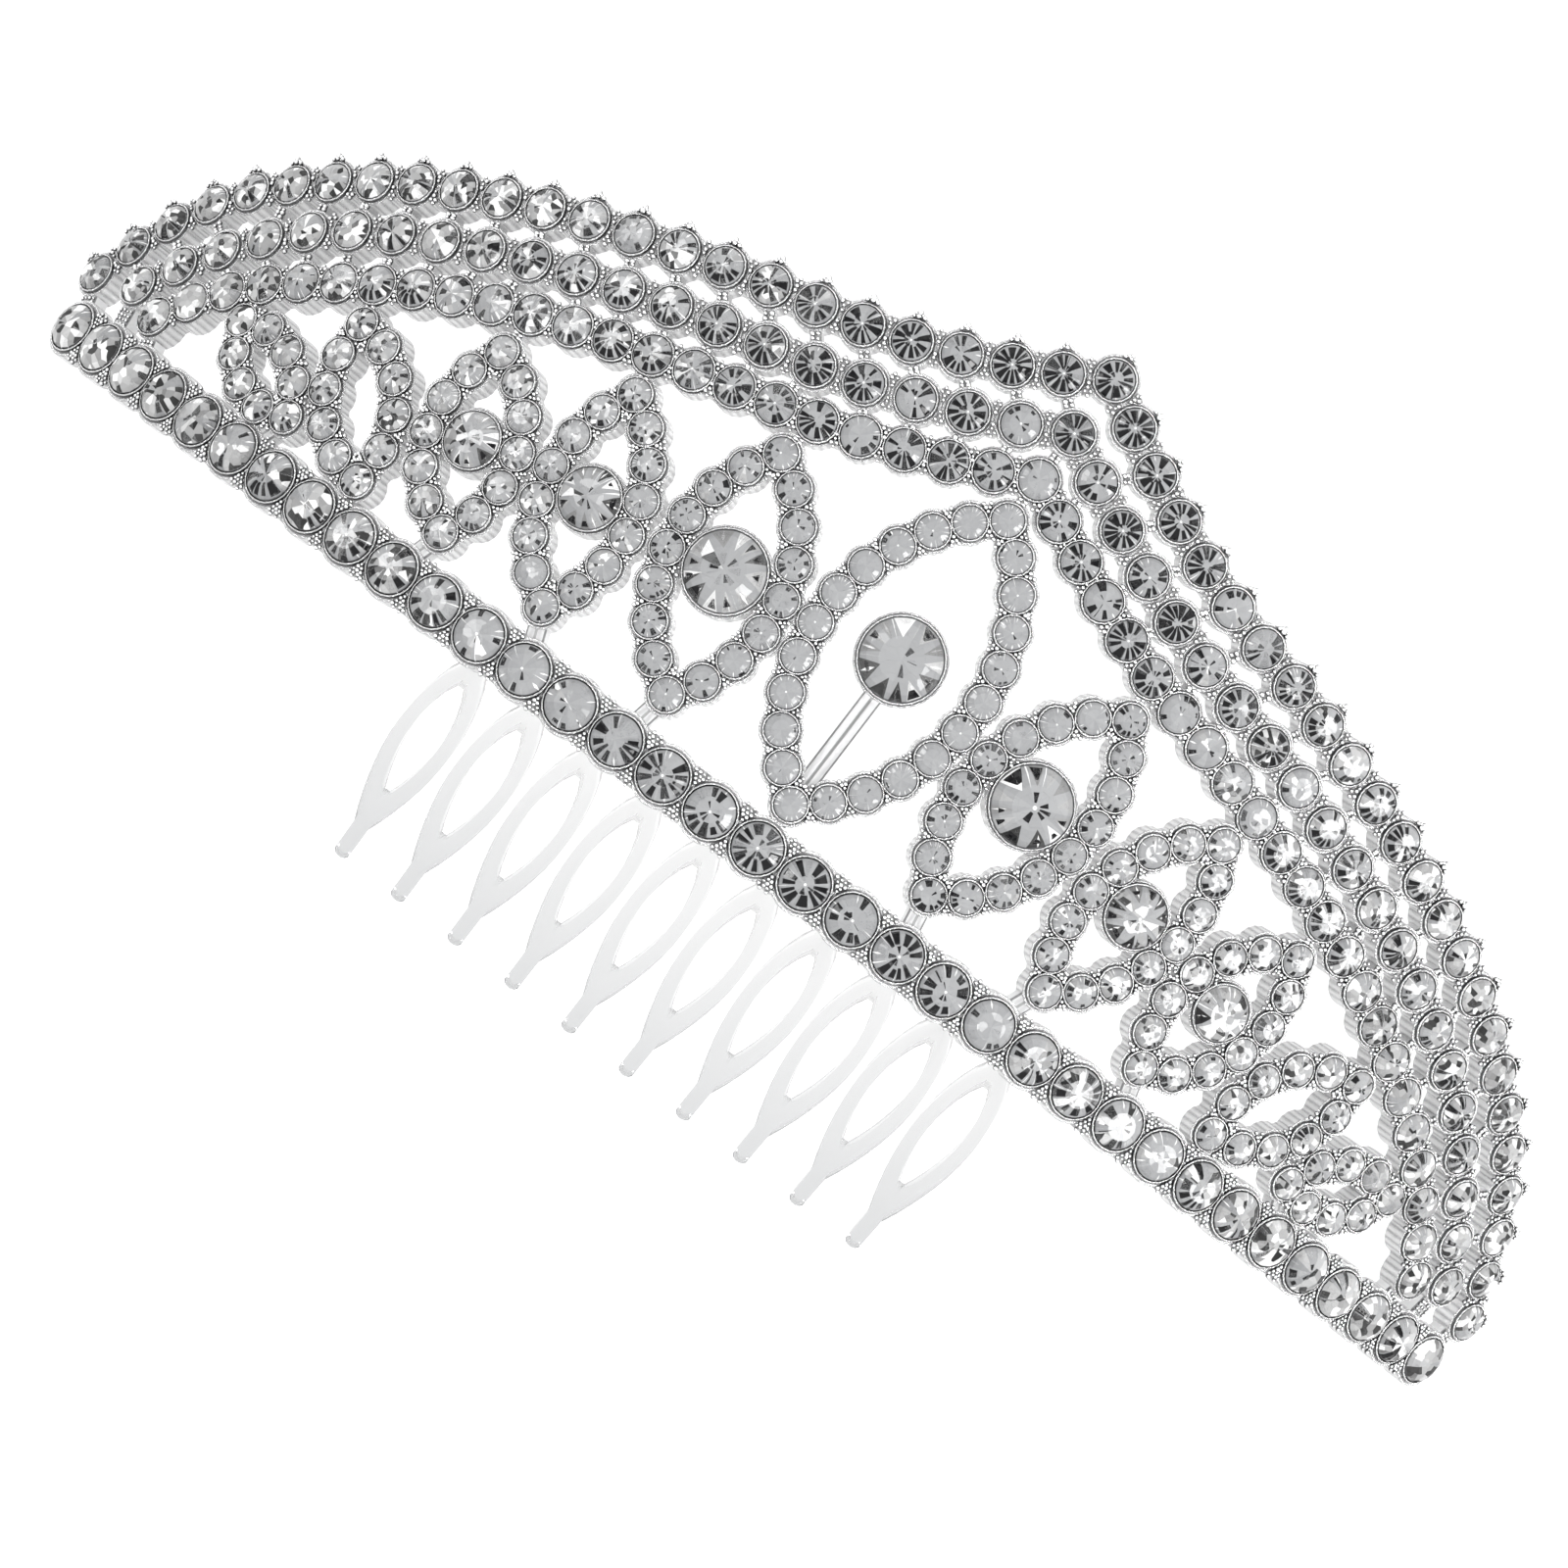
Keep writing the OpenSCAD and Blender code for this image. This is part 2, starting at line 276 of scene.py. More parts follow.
# The casting is one bent and pierced piece of plated metal: round cups in a base row, three band
# rows and eleven pointed leaves, tied by short bars. It is laid out flat, as position along the
# bend and height above the base row, and each cup then goes to its place on the bend.
MM = 0.001
bend_r = 102.5
casting_depth = 2.4
base_pitch = 4.9
base_side = 17
stone_gap = 0.07
cup_wall = 0.16
cup_overlap = 0.08
base_stone_d = 4.6
band_stone_d = 3.55
leaf_stone_d = 2.95
# Half of each band row, from its peak to its end
outer_row = [(0, 48.6), (15.7, 40.9), (32.7, 36.6), (49.2, 31.7), (65, 25.1), (78.6, 15.5), (85.4, 5)]
middle_row = [(0, 43), (16.8, 35.7), (34.3, 31.3), (51.6, 25.8), (67.5, 18.2), (79.6, 6.3)]
inner_row = [(0, 38.2), (14.5, 32), (29.4, 28.1), (43.6, 24), (57.5, 18.3), (70.2, 10.4), (75.4, 5)]
outer_side = 23
middle_side = 20
inner_side = 22
# Leaves from the middle to the right end. The left half mirrors them.
leaf_keys = ("foot_s", "foot_z", "lean", "length", "belly", "side_stones", "solitaire_d")
right_leaves = [
    dict(zip(leaf_keys, (0, 4.5, 0, 29.5, 7.6, 10, 7.3))),
    dict(zip(leaf_keys, (13.7, 5.5, 12, 22.1, 5.3, 7, 7.2))),
    dict(zip(leaf_keys, (26.6, 5.05, 14.3, 19.35, 4.3, 6, 5.5))),
    dict(zip(leaf_keys, (37.7, 4.9, 20.5, 16.2, 4.25, 5, 5.1))),
    dict(zip(leaf_keys, (46.9, 4.1, 40, 14.2, 3.4, 4, 0))),
    dict(zip(leaf_keys, (56.4, 4.8, 67, 11.2, 2.5, 3, 0))),
]
left_leaves = [dict(leaf, foot_s=-leaf["foot_s"], lean=-leaf["lean"]) for leaf in right_leaves[1:]]
solitaire_place = 0.51
rest_turn = -131.25
rest_y = 70.01


def smooth_curve(keys, cuts=24):
    """Points along a smooth curve through the keys."""
    keys = [Vector(key) for key in keys]
    steps = [(b - a).length for a, b in zip(keys, keys[1:])]
    slopes = [(b - a) / step for a, b, step in zip(keys, keys[1:], steps)]
    first = slopes[0] + (slopes[0] - slopes[1]) * steps[0] / (steps[0] + steps[1])
    last = slopes[-1] + (slopes[-1] - slopes[-2]) * steps[-1] / (steps[-1] + steps[-2])
    tangents = [first]
    for i in range(1, len(steps)):
        tangents.append((slopes[i - 1] * steps[i] + slopes[i] * steps[i - 1]) / (steps[i - 1] + steps[i]))
    tangents.append(last)
    points = []
    for i, step in enumerate(steps):
        for k in range(cuts):
            u = k / cuts
            points.append(
                keys[i] * (1 + 2 * u) * (1 - u) ** 2 + keys[i + 1] * u * u * (3 - 2 * u)
                + tangents[i] * step * u * (1 - u) ** 2 + tangents[i + 1] * step * u * u * (u - 1)
            )
    return points + [keys[-1]]


def evenly(curve, count):
    """Points at equal distances along a curve, without its first point."""
    run = [0]
    for a, b in zip(curve, curve[1:]):
        run.append(run[-1] + (b - a).length)
    points = []
    i = 0
    for k in range(1, count + 1):
        want = run[-1] * k / count
        while i < len(run) - 2 and run[i + 1] < want:
            i += 1
        share = (want - run[i]) / (run[i + 1] - run[i])
        points.append(curve[i].lerp(curve[i + 1], share))
    return points


def row_points(keys, side):
    """The places of a band row's cups, with the given number on each side of its peak."""
    half = evenly(smooth_curve(keys), side)
    return [Vector((-p.x, p.y)) for p in reversed(half)] + [Vector(keys[0])] + half


base_points = [Vector((i * base_pitch, 0)) for i in range(-base_side, base_side + 1)]
outer_points = row_points(outer_row, outer_side)
middle_points = row_points(middle_row, middle_side)
inner_points = row_points(inner_row, inner_side)


def on_leaf(leaf, along, out):
    """The point at a distance along a leaf from its foot, and out from its axis."""
    lean = math.radians(leaf["lean"])
    return Vector((
        leaf["foot_s"] + along * math.sin(lean) + out * math.cos(lean),
        leaf["foot_z"] + along * math.cos(lean) - out * math.sin(lean),
    ))


def leaf_points(leaf):
    """The foot, the left side, the tip and the right side of a leaf of two arcs."""
    length, belly, count = leaf["length"], leaf["belly"], leaf["side_stones"]
    arc_r = ((length / 2) ** 2 + belly ** 2) / 2 / belly
    half = math.asin(length / 2 / arc_r)
    sides = {-1: [], 1: []}
    for side, points in sides.items():
        for i in range(1, count + 1):
            a = half * (2 * i / (count + 1) - 1)
            out = side * (arc_r * math.cos(a) - arc_r + belly)
            points.append(on_leaf(leaf, length / 2 + arc_r * math.sin(a), out))
    return [on_leaf(leaf, 0, 0)] + sides[-1] + [on_leaf(leaf, length, 0)] + sides[1]


def leaf_sides(leaf):
    """The points up each side of a leaf, from its foot to its tip."""
    ring = leaf_points(leaf)
    count = leaf["side_stones"]
    return ring[:count + 2], [ring[0]] + ring[count + 2:] + [ring[count + 1]]


def solitaire_at(leaf):
    """The place of the large stone inside a leaf."""
    return on_leaf(leaf, leaf["length"] * solitaire_place, 0)


def nearest(point, points):
    """The one of the points that is nearest to a point."""
    return min(points, key=lambda other: (other - point).length)


def heading(p, q):
    """The angle of the line from one flat point to another."""
    across = q - p
    return math.atan2(across.y, across.x)


def cup_r(stone_d, pitch=0):
    """The radius of a cup round its stone, or of one that runs into its neighbours at a pitch."""
    return max(stone_d / 2 + stone_gap + cup_wall, (pitch + cup_overlap) / 2)


base_cup_r = cup_r(base_stone_d, base_pitch)
outer_cup_r = cup_r(band_stone_d, (outer_points[1] - outer_points[0]).length)
middle_cup_r = cup_r(band_stone_d, (middle_points[1] - middle_points[0]).length)
inner_cup_r = cup_r(band_stone_d, (inner_points[1] - inner_points[0]).length)
leaf_cup_r = cup_r(leaf_stone_d)

turn = math.radians(rest_turn)
rest_z = (bend_r - casting_depth) * math.sin(turn) - (outer_row[0][1] + outer_cup_r) * math.cos(turn)
at_rest = (
    Matrix.Scale(MM, 4)
    @ Matrix.Translation((0, rest_y, rest_z))
    @ Matrix.Rotation(math.pi, 4, "Z")
    @ Matrix.Rotation(turn, 4, "X")
)


def on_bend(point, spin=0):
    """The place at rest of what lies flat at a point, in millimetres, with local Z outwards."""
    return (
        at_rest
        @ Matrix.Rotation(point[0] / bend_r, 4, "Z")
        @ Matrix.Translation((0, -bend_r, point[1]))
        @ Matrix.Rotation(math.pi / 2, 4, "X")
        @ Matrix.Rotation(spin, 4, "Z")
    )


def raise_top(piece, profile, start_r):
    """Draws the piece's top face out through a profile of (radius, height above the last) steps."""
    hair = 1e-5
    top = max(vertex.co.z for vertex in piece.data.vertices)
    pick_faces(piece, lambda face: face.normal.z > 0.9 and face.center.z > top - hair)
    radius = start_r
    for next_r, climb in profile:
        bpy.ops.mesh.extrude_region_move(TRANSFORM_OT_translate={"value": (0, 0, climb)})
        share = next_r / radius
        bpy.ops.transform.resize(value=(share, share, 1), center_override=(0, 0, 0))
        radius = next_r
    bpy.ops.object.mode_set(mode="OBJECT")


def remember_place(piece, unit=1):
    """Keeps each point's own place before the piece is moved, for its finish to follow."""
    own = piece.data.attributes.new("own_place", "FLOAT_VECTOR", "POINT")
    flat = []
    for vertex in piece.data.vertices:
        flat.extend(vertex.co / unit)
    own.data.foreach_set("vector", flat)


def copies(model, places):
    """Copies of a model, each with its own mesh, at the given places."""
    made = []
    for where in places:
        copy = model.copy()
        copy.data = model.data.copy()
        copy.data.transform(where)
        bpy.context.collection.objects.link(copy)
        made.append(copy)
    return made


def fuse(name, pieces):
    """Joins pieces into one, named, with its object at the origin."""
    bpy.ops.object.select_all(action="DESELECT")
    for piece in pieces:
        piece.select_set(True)
    bpy.context.view_layer.objects.active = pieces[0]
    bpy.ops.object.join()
    pieces[0].name = name
    pieces[0].data.name = name
    return pieces[0]


def drop(*models):
    """Takes away models that only served to be copied."""
    for model in models:
        mesh = model.data
        bpy.data.objects.remove(model)
        bpy.data.meshes.remove(mesh)


# A cup, from its back up: a plain wall, a flange with a fine groove round the foot of the rim, a
# narrow raised rim whose lip holds the stone, and the bore down to a floor that the stone hides. A
# flange reaches a little past its cup, but in the middle row it stops short of it.
step_drop = 0.32
lip = 0.01
rim_w = 0.11
rim_round = 0.05
rim_margin = 0.03
groove_rise = 0.05
flange_edge = 0.05
bore_depth = 1.2
base_flange = 0.28
outer_flange = 0.02
middle_flange = -0.05
inner_flange = 0.1
leaf_flange = 0.2
big_flange = 0.12
cup_sides = 18
base_cup_sides = 24
big_cup_sides = 28
smooth_angle = math.radians(40)


def cup_model(name, radius, stone_d, flange, sides=cup_sides):
    """A cup with its rim at height 0, open in front and closed at the back."""
    bore_r = stone_d / 2 - lip
    rim_r = min(bore_r + rim_w, radius - rim_margin)
    wide_r = radius + flange
    height = casting_depth - step_drop
    cup = start(
        bpy.ops.mesh.primitive_cylinder_add, name, vertices=sides,
        radius=wide_r, depth=height, location=(0, 0, height / 2 - casting_depth),
    )
    bpy.ops.object.transform_apply(location=True)
    raise_top(cup, [
        (wide_r - flange_edge, groove_rise),
        (rim_r, -groove_rise),
        (rim_r, step_drop - rim_round),
        (rim_r - rim_round, rim_round),
        (bore_r, 0),
        (bore_r, -bore_depth),
    ], wide_r)
    bpy.ops.object.shade_smooth_by_angle(angle=smooth_angle)
    remember_place(cup)
    return cup


base_cup = cup_model("base_cup", base_cup_r, base_stone_d, base_flange, base_cup_sides)
outer_cup = cup_model("outer_cup", outer_cup_r, band_stone_d, outer_flange)
middle_cup = cup_model("middle_cup", middle_cup_r, band_stone_d, middle_flange)
inner_cup = cup_model("inner_cup", inner_cup_r, band_stone_d, inner_flange)
leaf_cup = cup_model("leaf_cup", leaf_cup_r, leaf_stone_d, leaf_flange)

cup_parts = copies(base_cup, [on_bend(p) for p in base_points])
cup_parts += copies(outer_cup, [on_bend(p) for p in outer_points])
cup_parts += copies(middle_cup, [on_bend(p) for p in middle_points])
cup_parts += copies(inner_cup, [on_bend(p) for p in inner_points])
all_leaves = right_leaves + left_leaves
for leaf in all_leaves:
    cup_parts += copies(leaf_cup, [on_bend(p) for p in leaf_points(leaf)])
    big_d = leaf["solitaire_d"]
    if big_d:
        big_cup = cup_model("big_cup", cup_r(big_d), big_d, big_flange, big_cup_sides)
        cup_parts += copies(big_cup, [on_bend(solitaire_at(leaf))])
        drop(big_cup)
drop(base_cup, outer_cup, middle_cup, inner_cup, leaf_cup)

# Bars run from cup to cup between the rows, and webs fill the gaps along them, all cast in one with
# the cups. Posts tie the leaves and the ends of the rows to the base row, and a stem with a groove
# down its middle carries the solitaire of the centre leaf.
link_w = 1
post_w = 1.7
link_bite = 0.14
link_drop = 0.5
link_lift = 0.3
bar_round = 0.12
groove_w = 0.24
groove_drop = 0.2
groove_overrun = 1.06


def bar_between(p, q, p_r, q_r, width, groove=False):
    """A bar from the wall of the cup at p to the wall of the cup at q."""
    run = (q - p).length - p_r - q_r + 2 * link_bite
    thick = casting_depth - link_drop - link_lift
    bar = start(bpy.ops.mesh.primitive_cube_add, "bar", size=1)
    bpy.ops.transform.resize(value=(run, width, thick))
    bpy.ops.object.transform_apply(scale=True)
    if groove:
        pick_faces(bar, lambda face: face.normal.z > 0.9)
        bpy.ops.mesh.inset(thickness=(width - groove_w) / 2)
        bpy.ops.transform.resize(value=(groove_overrun, 1, 1))
        bpy.ops.mesh.extrude_region_move(TRANSFORM_OT_translate={"value": (0, 0, -groove_drop)})
        bpy.ops.object.mode_set(mode="OBJECT")
    rounding = bar.modifiers.new("rounding", "BEVEL")
    rounding.width = bar_round
    rounding.segments = 2
    bpy.ops.object.modifier_apply(modifier="rounding")
    bpy.ops.object.shade_smooth_by_angle(angle=smooth_angle)
    middle = (p_r - link_bite + run / 2, 0, -link_drop - thick / 2)
    bar.data.transform(Matrix.Translation(middle))
    remember_place(bar)
    bar.data.transform(on_bend(p, heading(p, q)))
    return bar


# Length and width of a web, along and across its row
band_web = (0.8, 3)
base_web = (1.5, 4.9)
leaf_web = (0.8, 2.9)
web_drop = 0.36
web_round = 0.1


def web_model(size):
    """A short web that fills the gap between two cups of a row, under their beads."""
    thick = casting_depth - web_drop - link_lift
    web = start(bpy.ops.mesh.primitive_cube_add, "web", size=1)
    bpy.ops.transform.resize(value=(*size, thick))
    bpy.ops.object.transform_apply(scale=True)
    pick_faces(web, lambda face: face.normal.z > 0.9)
    bpy.ops.mesh.bevel(offset=web_round, segments=2)
    bpy.ops.object.mode_set(mode="OBJECT")
    bpy.ops.object.shade_smooth_by_angle(angle=smooth_angle)
    web.data.transform(Matrix.Translation((0, 0, -web_drop - thick / 2)))
    remember_place(web)
    return web


def webs_along(row, size):
    """Webs in all the gaps of a row of cups."""
    model = web_model(size)
    webs = copies(model, [on_bend((p + q) / 2, heading(p, q)) for p, q in zip(row, row[1:])])
    drop(model)
    return webs


bar_ends = []
for p in middle_points:
    bar_ends.append((p, nearest(p, outer_points), middle_cup_r, outer_cup_r))
    bar_ends.append((p, nearest(p, inner_points), middle_cup_r, inner_cup_r))
for leaf in all_leaves:
    tip = on_leaf(leaf, leaf["length"], 0)
    bar_ends.append((tip, nearest(tip, inner_points), leaf_cup_r, inner_cup_r))
bar_parts = [bar_between(p, q, p_r, q_r, link_w) for p, q, p_r, q_r in bar_ends]
for row in (outer_points, middle_points, inner_points):
    bar_parts += webs_along(row, band_web)
bar_parts += webs_along(base_points, base_web)
for leaf in all_leaves:
    for side in leaf_sides(leaf):
        bar_parts += webs_along(side, leaf_web)

casting = fuse("casting", cup_parts + bar_parts)

post_parts = []
for leaf in all_leaves:
    foot = on_leaf(leaf, 0, 0)
    post_parts.append(bar_between(foot, nearest(foot, base_points), leaf_cup_r, base_cup_r, post_w))
row_ends = [row[i] for row in (outer_points, middle_points, inner_points) for i in (0, -1)]
for end in row_ends:
    post_parts.append(bar_between(end, nearest(end, base_points), outer_cup_r, base_cup_r, post_w))
centre = right_leaves[0]
stem_end_r = cup_r(centre["solitaire_d"])
post_parts.append(
    bar_between(on_leaf(centre, 0, 0), solitaire_at(centre), leaf_cup_r, stem_end_r, post_w, True)
)
posts = fuse("posts", post_parts)

# The plating is bright silver, with wavering ribs down the walls of the cups. Its colour carries
# painted shade in crevices, on the rim's wall, in the groove at the rim's foot and in the hollows
# between the ribs, and on posts along their edges and down their middle. The walls and posts glow
# faintly, for the light thrown between them.
plate_white = (0.93, 0.93, 0.935, 1)
# The grey of the painted shade on the plating and the beads
plate_shade = (0.05, 0.05, 0.053, 1)
no_glow = (0, 0, 0, 1)
wall_glow = 0.13
post_glow = 0.2
wall_metal = 0.5
post_metal = 0.2
rib_count = 20
rib_waver = 1.5
wall_margin = 0.02
bright_rim = 0.06
post_top = 0.15
# Strengths of painted shade: between the ribs, on the rim's wall, in grooves, at post edges
rib_shade_dark = 0.65
rim_foot_shade = 0.65
groove_shade = 0.5
edge_w = 0.16
edge_shade = 0.7
grain_scale = 1800
crevice_reach = 0.0008
plate_relief = 0.0001


def silver_plate(name, edge=None):
    """Plated metal with painted shade. With an edge, a post's top has painted shade further than that
    from its middle line, and a painted shadow line down the middle.
    """
    finish = Finish(name)
    own = finish.attribute("own_place")
    x, y, z = own[0], own[1], own[2]
    fine = finish.noise(grain_scale, 2)
    around = y.maths("ARCTAN2", x) * (rib_count / math.tau) + fine * rib_waver
    ribs = around.maths("PINGPONG", 0.5) * 2
    on_wall = z < -step_drop - wall_margin
    if edge:
        # Painted shade along the edges of a post's top, and a painted shadow line down its middle
        on_edge = (abs(y) > edge) * (z > -link_drop - post_top)
        shade = 1 - on_edge * edge_shade - (abs(y) < groove_w / 2) * groove_shade
        glow = shade
        finish.set(Metallic=post_metal, Emission_Strength=post_glow)
    else:
        # Painted shade on the rim's wall, in the groove at its foot and along the flange's edge, in
        # crevices, and in the hollows between the ribs
        under_rim = z.between(-step_drop + groove_rise, -bright_rim)
        in_groove = z.between(-step_drop - wall_margin, -step_drop + groove_rise * 0.5)
        shut = 1 - finish.openness(crevice_reach)
        rib_shade = ribs.ramp((0.1, 1.0), (0.4, 0.0)) * on_wall * rib_shade_dark
        # Random darker blotches, faint on the walls
        mottle = 1 - (1 - fine.ramp((0.32, 0.5), (0.54, 1.0))) * (1 - on_wall * 0.8)
        shade = 1 - rib_shade - under_rim * rim_foot_shade - in_groove * groove_shade
        shade = shade * (1 - shut * (1 - on_wall * 0.9)) * mottle
        glow = on_wall * shade
        finish.set(Metallic=1 - on_wall * (1 - wall_metal), Emission_Strength=wall_glow)
    finish.set(Emission_Color=glow.mix(no_glow, plate_white))
    finish.set(Base_Color=shade.mix(plate_shade, plate_white), Roughness=0.16 + fine * 0.1)
    finish.bump(ribs * on_wall * 0.6 + fine * 0.6, plate_relief)
    return finish.material


for metal, plate in (
    (casting, silver_plate("silver_plate")),
    (posts, silver_plate("post_plate", post_w / 2 - edge_w)),
):
    metal.data.materials.clear()
    metal.data.materials.append(plate)
    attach(metal, "root")
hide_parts("frame")

# Small round beads sit in the gaps between the cups, in columns along the bars and end posts, and
# as claws on the outer edge. They are cast and plated with the frame, so only their upper half shows.
bead_r = 0.22
small_bead_r = 0.17
bead_cut = 0.3
gap_bead_height = -0.12
bead_scales = (0.85, 1.3)
bead_wobble = 0.04
bead_angle = math.radians(60)


def bead_model(name, radius):
    """The upper part of a ball, closed by a flat face, with its place in shares of its radius."""
    bead = start(bpy.ops.mesh.primitive_uv_sphere_add, name, segments=8, ring_count=6, radius=radius)
    pick_faces(bead, lambda face: face.center.z < -bead_cut * radius)
    bpy.ops.mesh.delete(type="FACE")
    bpy.ops.mesh.select_all(action="SELECT")
    bpy.ops.mesh.region_to_loop()
    bpy.ops.mesh.edge_face_add()
    bpy.ops.object.mode_set(mode="OBJECT")
    bpy.ops.object.shade_smooth_by_angle(angle=bead_angle)
    remember_place(bead, radius)
    return bead


bead = bead_model("bead", bead_r)
small_bead = bead_model("small_bead", small_bead_r)
scatter = random.Random(7)


def beads_at(model, point, spin, spots, height=gap_bead_height):
    """Beads at (along, up, rise) spots round a point, turned with it."""
    where = on_bend(point, spin)
    places = []
    for along, up, rise in spots:
        along += scatter.uniform(-bead_wobble, bead_wobble)
        up += scatter.uniform(-bead_wobble, bead_wobble)
        spot = Matrix.Translation((along, up, height + rise))
        places.append(where @ spot @ Matrix.Scale(scatter.uniform(*bead_scales), 4))
    return copies(model, places)


def mirrored(spots):
    """Spots on both sides of a row."""
    return spots + [(along, -up, rise) for along, up, rise in spots]


# Between the cups of the base row the beads stand in triangles, one bead, then two, then more.
base_gap_spots = mirrored([
    (0, 1.16, 0), (-0.18, 1.48, 0), (0.18, 1.48, 0), (-0.38, 1.82, -0.03), (0, 1.8, 0),
    (0.38, 1.82, -0.03), (-0.62, 2.16, -0.1), (-0.2, 2.12, -0.06), (0.2, 2.12, -0.06), (0.62, 2.16, -0.1),
    (-0.34, 2.44, -0.16), (0.34, 2.44, -0.16),
])
base_beads = []
for p, q in zip(base_points, base_points[1:]):
    base_beads += beads_at(small_bead, (p + q) / 2, 0, base_gap_spots)
base_row_beads = fuse("base_row_beads", base_beads)

# Between the cups of a band row a few beads fill each side of the gap.
band_gap_spots = mirrored([
    (0, 0.5, 0), (0, 0.86, 0), (-0.24, 1.2, -0.04), (0.24, 1.2, -0.04), (0, 1.52, -0.1),
])
band_beads = []
for row in (outer_points, middle_points, inner_points):
    for p, q in zip(row, row[1:]):
        band_beads += beads_at(small_bead, (p + q) / 2, heading(p, q), band_gap_spots)

# The bars between the rows and at the tips of the leaves carry two columns of beads each.
bar_bead_pitch = 0.42
bar_bead_room = 0.6
bar_bead_overrun = 0.1
bar_columns = (-0.25, 0.25)
bar_bead_height = -0.4
for p, q, p_r, q_r in bar_ends:
    length = (q - p).length
    count = max(2, round((length - (band_stone_d + bar_bead_room)) / bar_bead_pitch))
    spots = []
    for i in range(count):
        run = length - p_r - q_r + 2 * bar_bead_overrun
        along = p_r - bar_bead_overrun + (i + 0.5) * run / count
        spots += [(along, up, 0) for up in bar_columns]
    band_beads += beads_at(bead, p, heading(p, q), spots, bar_bead_height)

# The posts at the ends of the rows are covered with beads, in four columns.
post_bead_pitch = 0.4
post_columns = (-0.66, -0.22, 0.22, 0.66)
post_bead_height = -0.46
for end in row_ends:
    foot = nearest(end, base_points)
    run = (foot - end).length - outer_cup_r - base_cup_r
    count = max(2, round(run / post_bead_pitch))
    spots = []
    for i in range(count):
        along = outer_cup_r + (i + 0.5) * run / count
        spots += [(along, up, 0) for up in post_columns]
    band_beads += beads_at(small_bead, end, heading(end, foot), spots, post_bead_height)
band_row_beads = fuse("band_row_beads", band_beads)

# On the outer edge each cup has a claw of two large beads, with two small ones on each side.
claw_height = -0.14
claw_spots = [(0, 0.3, 0), (0, 0, 0.04)]
claw_side_spots = [(-0.26, 0.14, 0), (0.26, 0.14, 0), (-0.48, -0.06, 0), (0.48, -0.06, 0)]


def past_rim(spots):
    """Spots given from the edge of an outer cup, as spots given from its middle."""
    return [(along, outer_cup_r + up, rise) for along, up, rise in spots]


claw_beads = []
for i, p in enumerate(outer_points):
    before = outer_points[max(i - 1, 0)]
    after = outer_points[min(i + 1, len(outer_points) - 1)]
    spin = heading(before, after)
    claw_beads += beads_at(bead, p, spin, past_rim(claw_spots), claw_height)
    claw_beads += beads_at(small_bead, p, spin, past_rim(claw_side_spots), claw_height)
edge_claws = fuse("edge_claws", claw_beads)

# Between the cups of a leaf there is one bead, then two and two more, on each side.
leaf_gap_spots = mirrored([
    (0, 0.85, 0), (-0.17, 1.16, -0.04), (0.17, 1.16, -0.04), (-0.3, 1.48, -0.1), (0.3, 1.48, -0.1),
])
leaf_beads = []
for leaf in all_leaves:
    for side in leaf_sides(leaf):
        for p, q in zip(side, side[1:]):
            leaf_beads += beads_at(small_bead, (p + q) / 2, heading(p, q), leaf_gap_spots)
leaf_row_beads = fuse("leaf_row_beads", leaf_beads)
drop(bead, small_bead)

# A bead has painted shade low down and where it runs into its neighbours, so only its top is bright.
bead_crevice = 0.0004
bead_finish = Finish("bead_plate")
bead_height = bead_finish.attribute("own_place")[2]
bead_shade = bead_height.ramp((0.0, 0.0), (0.35, 0.35), (0.75, 1.0))
bead_shade = bead_shade * bead_finish.openness(bead_crevice)
bead_finish.set(Base_Color=bead_shade.mix(plate_shade, plate_white), Metallic=1, Roughness=0.18)
for beads in (base_row_beads, band_row_beads, edge_claws, leaf_row_beads):
    beads.data.materials.clear()
    beads.data.materials.append(bead_finish.material)
    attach(beads, "root")

# The stones are round cut glass with foil behind, glued into their cups: a table, two steps of crown
# facets, and a foot that the cup hides. What the foil mirrors through the table is painted on: grey
# fields and dark facets of painted reflection, and bright facets of painted glint round them. Shares
# are of a stone's radius, or of its diameter for the crown.
girdle_drop = 0.14
foot_share = 0.3
table_share = 0.54
break_share = 0.82
crown_share = 0.19
low_step = 0.6
pavilion_depth = 0.9
crystal_sides = 16
# Greys of the painted reflections and glints, and of the painted shade at a stone's edge
field_low = (0.27, 0.274, 0.28, 1)
field_high = (0.44, 0.444, 0.45, 1)
dark_reflection = (0.004, 0.004, 0.005, 1)
stone_rim_shade = (0.012, 0.012, 0.013, 1)
glint_white = (0.98, 0.98, 0.98, 1)


def crystal_model(diameter):
    """A cut stone, with its own place kept in shares of its radius."""
    crown = crown_share * diameter
    girdle_r = diameter / 2
    stone = start(
        bpy.ops.mesh.primitive_cone_add, "crystal", vertices=crystal_sides,
        radius1=girdle_r * foot_share, radius2=girdle_r, depth=pavilion_depth,
        location=(0, 0, -girdle_drop - pavilion_depth / 2),
    )
    bpy.ops.object.transform_apply(location=True)
    raise_top(stone, [
        (girdle_r * break_share, crown * low_step),
        (girdle_r * table_share, crown * (1 - low_step)),
    ], girdle_r)
    bpy.ops.object.shade_flat()
    remember_place(stone, girdle_r)
    return stone


